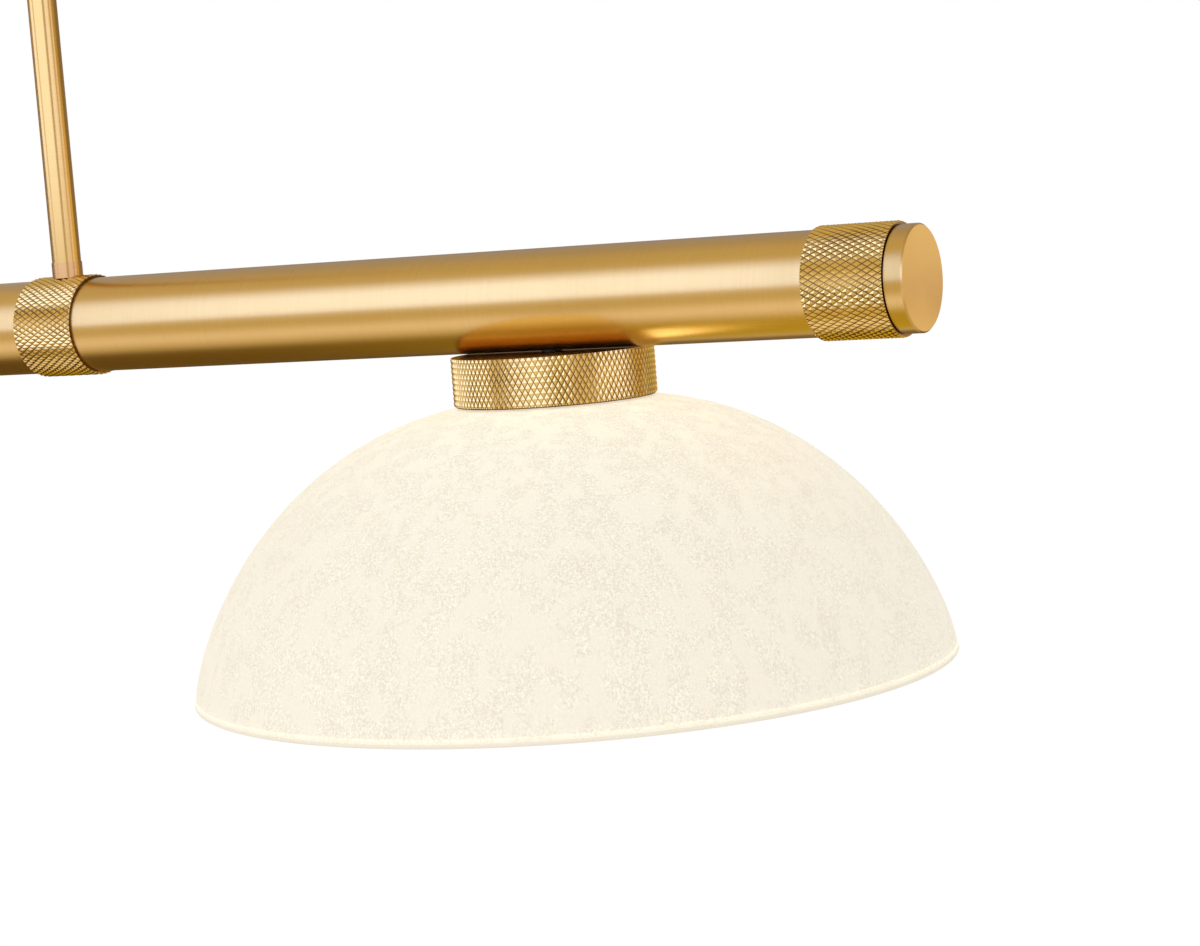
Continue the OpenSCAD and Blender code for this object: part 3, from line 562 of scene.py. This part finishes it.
def make_shade(side, x):
    """A glass dome with a rounded, ground rim and a flat seat inside its crown."""
    inner_r, inner_h = SHADE_R - SHADE_WALL, SHADE_H - SHADE_WALL
    seat = dome_z(SHADE_FLAT, SHADE_R, SHADE_H)
    outer = dome_points(SHADE_R, SHADE_H, SHADE_FLAT, 90)
    inner = dome_points(inner_r, inner_h, SHADE_SEAT_IN, 60)
    # The rim is rounded by its bow, and its bare band stands proud of the skin above it
    bow, bow_top, band, skin, step, turns = 0.0012, 0.0013, 0.0042, 0.00028, 0.0004, 256
    mid, half = (SHADE_R + inner_r) / 2, (SHADE_R - inner_r) / 2
    profile = []
    for i in range(7):
        a = math.pi * i / 6
        profile.append((mid - half * math.cos(a), bow * (1 - math.sin(a))))
    for r, z in outer:
        if z > bow_top:
            inset = skin * min(1.0, max(0.0, (z - band) / step))
            profile.append((r - inset, z))
            if z < band < dome_z(r - step, SHADE_R, SHADE_H):
                profile.append((r - 0.00005, band))
    profile += [(SHADE_HOLE, seat), (SHADE_HOLE, seat - SHADE_WALL), (SHADE_SEAT_IN, seat - SHADE_WALL)]
    profile += [(r, z) for r, z in reversed(inner) if z > bow_top]
    verts, faces = lathe(profile, turns)
    obj = mesh_object("opal_shade_" + side, verts, faces, glass)
    heights = np.array([v[2] for v in verts])
    radii = np.array([math.hypot(v[0], v[1]) for v in verts])
    full_glow, glow_reach, glow_fall, glow_height = 0.048, 0.12, 1.4, 0.06
    near = np.clip(1 - (radii - full_glow) / glow_reach, 0, 1) ** glow_fall
    # The painted glow of the bulb: strongest round the crown, none at the rim
    attribute(obj, "glow", near * np.clip(heights / glow_height, 0, 1))
    attribute(obj, "rim", np.clip((band - heights) / step, 0, 1))
    # The inside: plain glass painted darker, and half the painted glow
    crown = profile.index((SHADE_HOLE, seat))
    rows = np.arange(len(verts)) % len(profile)
    attribute(obj, "inside", (rows > crown) | (rows == 0))
    shade_sharp(obj, 40)
    place(obj, Matrix.Translation((x, 0, SHADE_RIM)))
    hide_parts("shade_" + side)
    # The photograph's bar doesn't mirror the lit glass
    obj.visible_glossy = False
    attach(obj, "pendant")


def make_bulb(side, x):
    """The bulb's glass, from inside its cap down to the tip of the globe."""
    top, centre = CAP_LOW - 0.0006, BULB_LOW + BULB_R
    neck, stem, stem_top, tip = CAP_R + 0.0003, CAP_R - 0.0009, CAP_LOW + 0.004, 0.0001
    neck_steps, globe_steps, turns = 32, 24, 96
    profile = [(tip, stem_top), (stem, stem_top), (stem, CAP_LOW)]
    for i in range(neck_steps + 1):
        t = i / neck_steps
        profile.append((neck + (BULB_R - neck) * math.sin(t * math.pi / 2) ** 2, top + (centre - top) * t))
    for i in range(1, globe_steps + 1):
        a = math.pi / 2 * i / globe_steps
        profile.append((max(BULB_R * math.cos(a), tip), centre - BULB_R * math.sin(a)))
    verts, faces = lathe(profile, turns)
    obj = mesh_object("opal_bulb_" + side, verts, faces, opal)
    shade_sharp(obj, 50)
    place(obj, Matrix.Translation((x, 0, 0)))
    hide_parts("bulb_glass_" + side)
    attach(obj, "bulb_" + side)


def make_knurled_parts():
    """The necks, end rings and collars, with all their diamonds."""
    for side, x in LAMPS.items():
        pocket = NECK_R - NECK_WALL
        under = NECK_H - NECK_PLATE
        neck = knurled_piece(
            "knurled_neck_" + side, NECK_R, NECK_H, NECK_DIAMONDS, NECK_ROW, NECK_CHAMFER,
            [(TAPPED_R, NECK_H), (TAPPED_R, under), (pocket, under), (pocket, 0.0)],
            foot=NECK_FOOT, ends=NECK_TOP_RELIEF)
        place(neck, Matrix.Translation((x, 0, NECK_TOP - NECK_H)))
        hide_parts("neck_" + side)
        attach(neck, "pendant")
    for side, sign in SIDES.items():
        ring = knurled_piece(
            "knurled_end_ring_" + side, RING_R, END_RING_LEN, RING_DIAMONDS, RING_ROW, RING_CHAMFER,
            [(SPIGOT_R, END_RING_LEN), (SPIGOT_R, END_RING_LEN - RING_PLATE),
             (RING_BORE, END_RING_LEN - RING_PLATE), (RING_BORE, 0.0)])
        place(ring, turned_to_x(sign * (RING_OUT_X - END_RING_LEN), sign))
        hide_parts("end_ring_" + side)
        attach(ring, "pendant")
        collar = knurled_piece(
            "knurled_collar_" + side, RING_R, COLLAR_LEN, RING_DIAMONDS, RING_ROW, RING_CHAMFER,
            [(RING_BORE, COLLAR_LEN), (RING_BORE, 0.0)])
        place(collar, turned_to_x(sign * ROD_X - COLLAR_LEN / 2))
        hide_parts("collar_" + side)
        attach(collar, "pendant")


# Studio and camera
FLOOR = -2.7
FLOOR_HALF = 60.0

# The world's light, and how much of the world and the floor is seen as white, and how bright
WORLD_LIGHT = 0.34
WORLD_WHITE = (1.0, 1.0)
FLOOR_WHITE = (0.92, 1.07)

# The dim grey that three flags share, and a card's height in degrees to a row of its mesh
DUSK = (0.28, 0.24, 0.235)
CARD_ROW = 4


def see_white(tree, surface, share, level):
    """White to the camera and in reflections, the plain surface to the light itself."""
    path = add(tree, "ShaderNodeLightPath")
    seen = add(tree, "ShaderNodeMath", {0: path.outputs["Is Camera Ray"], 1: path.outputs["Is Glossy Ray"]},
               operation="MAXIMUM")
    seen = add(tree, "ShaderNodeMath", {0: seen.outputs[0], 1: path.outputs["Is Transmission Ray"]},
               operation="MAXIMUM")
    factor = add(tree, "ShaderNodeMath", {0: seen.outputs[0], 1: share}, operation="MULTIPLY")
    if tree.nodes.get("World Output"):
        white = add(tree, "ShaderNodeBackground", {"Color": (1, 1, 1, 1), "Strength": level})
    else:
        white = add(tree, "ShaderNodeEmission", {"Color": (1, 1, 1, 1), "Strength": level})
    mixed = add(tree, "ShaderNodeMixShader", {0: factor.outputs[0], 1: surface, 2: white.outputs[0]})
    return mixed.outputs[0]


def studio():
    """A pale room, two softboxes, and the cards that the metal reflects."""
    world = bpy.data.worlds.new("studio")
    bpy.context.scene.world = world
    world.use_nodes = True
    tree = world.node_tree
    soft = tree.nodes["Background"]
    soft.inputs["Color"].default_value = (1.0, 0.99, 0.97, 1.0)
    soft.inputs["Strength"].default_value = WORLD_LIGHT
    seen = see_white(tree, soft.outputs[0], *WORLD_WHITE)
    tree.links.new(seen, tree.nodes["World Output"].inputs["Surface"])

    mat, tree, bsdf = shader("pale_floor")
    bsdf.inputs["Base Color"].default_value = (0.86, 0.85, 0.83, 1.0)
    bsdf.inputs["Roughness"].default_value = 0.9
    seen = see_white(tree, bsdf.outputs[0], *FLOOR_WHITE)
    tree.links.new(seen, tree.nodes["Material Output"].inputs["Surface"])
    size = FLOOR_HALF
    corners = [(-size, -size, FLOOR), (size, -size, FLOOR), (size, size, FLOOR), (-size, size, FLOOR)]
    floor = mesh_object("floor", corners, [(0, 1, 2, 3)], mat)

    # Lamps: a long softbox in front and above, a weaker one behind
    softbox("key", 24, 4.2, 14.0, 3.0, 72)
    softbox("back", 152, 4.2, 14.0, 2.0, 66)

    # What the metal sees in their place: cloth all round, soft panels and darker flags before it.
    # Each card: its angles, its distance from the bar, its span along it, its colour and its soft edges.
    card("cloth", (-180, 180), 1.93, (-40, 40), (0.78, 0.71, 0.55))
    card("flag_above", (84, 178), 1.91, (-40, 40), (0.49, 0.45, 0.42), (50, 0))
    card("flag_under", (-180, -66), 1.90, (-40, -0.42), (0.12, 0.07, 0.02), (0, 14))
    card("gold_card", (-130, -62), 1.89, (-0.42, 1.3), (0.70, 0.57, 0.08), (14, 8))
    card("flag_low_right", (-180, -130), 1.89, (-0.42, 1.3), (0.20, 0.13, 0.06))
    card("flag_behind", (162, 198), 1.87, (-40, 0.9), DUSK, (4, 4))
    card("flag_edge", (162, 178), 1.87, (0.9, 1.3), DUSK, (4, 0))
    card("panel_behind", (168, 200), 1.86, (1.3, 5), (1.22, 1.03, 0.64), (5, 10))
    card("panel_far", (130, 205), 1.86, (5, 40), (1.35, 1.50, 3.2))
    card("fill_panel", (-64, -22), 1.85, (-14, 14), (1.18, 1.18, 1.65), (15, 15))
    card("high_panel", (0, 45), 1.84, (-3, 40), (1.46, 1.85, 5.0), (4, 4))
    card("flag_left", (-30, 60), 1.83, (-40, -3), DUSK, (4, 4))
    card("key_panel", (-2, 64), 0.46, (-1.25, 0.63), (1.66, 2.16, 5.3), (10, 24))
    card("lens_flag", (-2, 64), 0.46, (0.63, 0.86), (0.74, 0.80, 1.3), (4, 8))
    card("key_panel_right", (-2, 64), 0.46, (0.86, 40), (1.60, 2.00, 5.1), (10, 24))
    card("thin_flag", (4, 60), 0.45, (-0.10, 0.02), (1.00, 1.05, 2.0), (4, 16))
    card("ceiling_card", (81, 99), 0.60, (-14, 14), (0.76, 0.70, 0.56), (3, 3))
    card("flag_rod", (140, 181), 0.35, (0.10, 0.73), (0.36, 0.32, 0.28), (12, 2))
    card("face_flag", (180, 190), 0.20, (0.75, 1.0), (0.86, 0.68, 0.47))
    card("neck_shadow", (180, 190), 0.20, (0.38, 0.70), (0.10, 0.05, 0.012))


def card(name, angles, reach, span, colour, soft=(0, 0)):
    """A strip along the bar between two angles up from the front, seen in reflections alone.

    Its long edges fade out over a few degrees.
    """
    mat, tree, _ = shader(name)
    lit = add(tree, "ShaderNodeEmission", {"Color": rgba(colour), "Strength": 1.0})
    clear = add(tree, "ShaderNodeBsdfTransparent")
    there = add(tree, "ShaderNodeAttribute", attribute_name="cover").outputs["Fac"]
    faded = add(tree, "ShaderNodeMixShader", {0: there, 1: clear.outputs[0], 2: lit.outputs[0]})
    tree.links.new(faded.outputs[0], tree.nodes["Material Output"].inputs["Surface"])
    mat.cycles.emission_sampling = "NONE"
    low, high = angles
    rows = math.ceil((high - low) / CARD_ROW)
    steps = [low + (high - low) * i / rows for i in range(rows + 1)]
    verts = [(x, -reach * math.cos(math.radians(a)), BAR_Z + reach * math.sin(math.radians(a)))
             for a in steps for x in span]
    faces = [(2 * i, 2 * i + 1, 2 * i + 3, 2 * i + 2) for i in range(rows)]
    obj = mesh_object(name, verts, faces, mat)
    fade_in, fade_out = (max(width, 0.001) for width in soft)
    cover = [min(1.0, (a - low) / fade_in, (high - a) / fade_out) for a in steps for x in span]
    attribute(obj, "cover", cover)
    obj.visible_camera = obj.visible_diffuse = obj.visible_transmission = obj.visible_shadow = False


def softbox(name, angle, reach, length, height, watts):
    """A long white softbox parallel to the bar, at an angle up from the front."""
    lamp = bpy.data.lights.new(name, "AREA")
    lamp.shape = "RECTANGLE"
    lamp.size, lamp.size_y = length, height
    lamp.energy = watts
    obj = bpy.data.objects.new(name, lamp)
    bpy.context.scene.collection.objects.link(obj)
    a = math.radians(angle)
    obj.location = (0, -reach * math.cos(a), BAR_Z + reach * math.sin(a))
    obj.rotation_euler = (Vector((0, 0, BAR_Z)) - obj.location).to_track_quat("-Z", "Y").to_euler()
    obj.visible_camera = obj.visible_glossy = False


def camera():
    """The photograph's camera, as fitted to it. Its place is measured from the right lamp's axis."""
    yaw, pitch, roll = 0.505, -0.100, -0.077
    film, focal = 36.0, 84.78
    along, front, above = 0.6833, -1.1975, 0.0514
    ahead = Vector((-math.sin(yaw) * math.cos(pitch), math.cos(yaw) * math.cos(pitch), math.sin(pitch)))
    across = Vector((math.cos(yaw), math.sin(yaw), 0.0))
    over = across.cross(ahead)
    right = across * math.cos(roll) + over * math.sin(roll)
    up = over * math.cos(roll) - across * math.sin(roll)
    lens = bpy.data.cameras.new("camera")
    lens.sensor_width = film
    lens.lens = focal
    lens.clip_end = 200.0
    eye = bpy.data.objects.new("camera", lens)
    bpy.context.scene.collection.objects.link(eye)
    matrix = Matrix((right, up, -ahead)).transposed().to_4x4()
    matrix.translation = Vector((LAMPS["right"] + along, front, BAR_Z + above))
    eye.matrix_world = matrix
    bpy.context.scene.camera = eye


dress_cad_nodes()
make_knurled_parts()
for side, x in LAMPS.items():
    make_shade(side, x)
    make_bulb(side, x)
studio()
camera()
bpy.context.scene.view_settings.view_transform = "Standard"
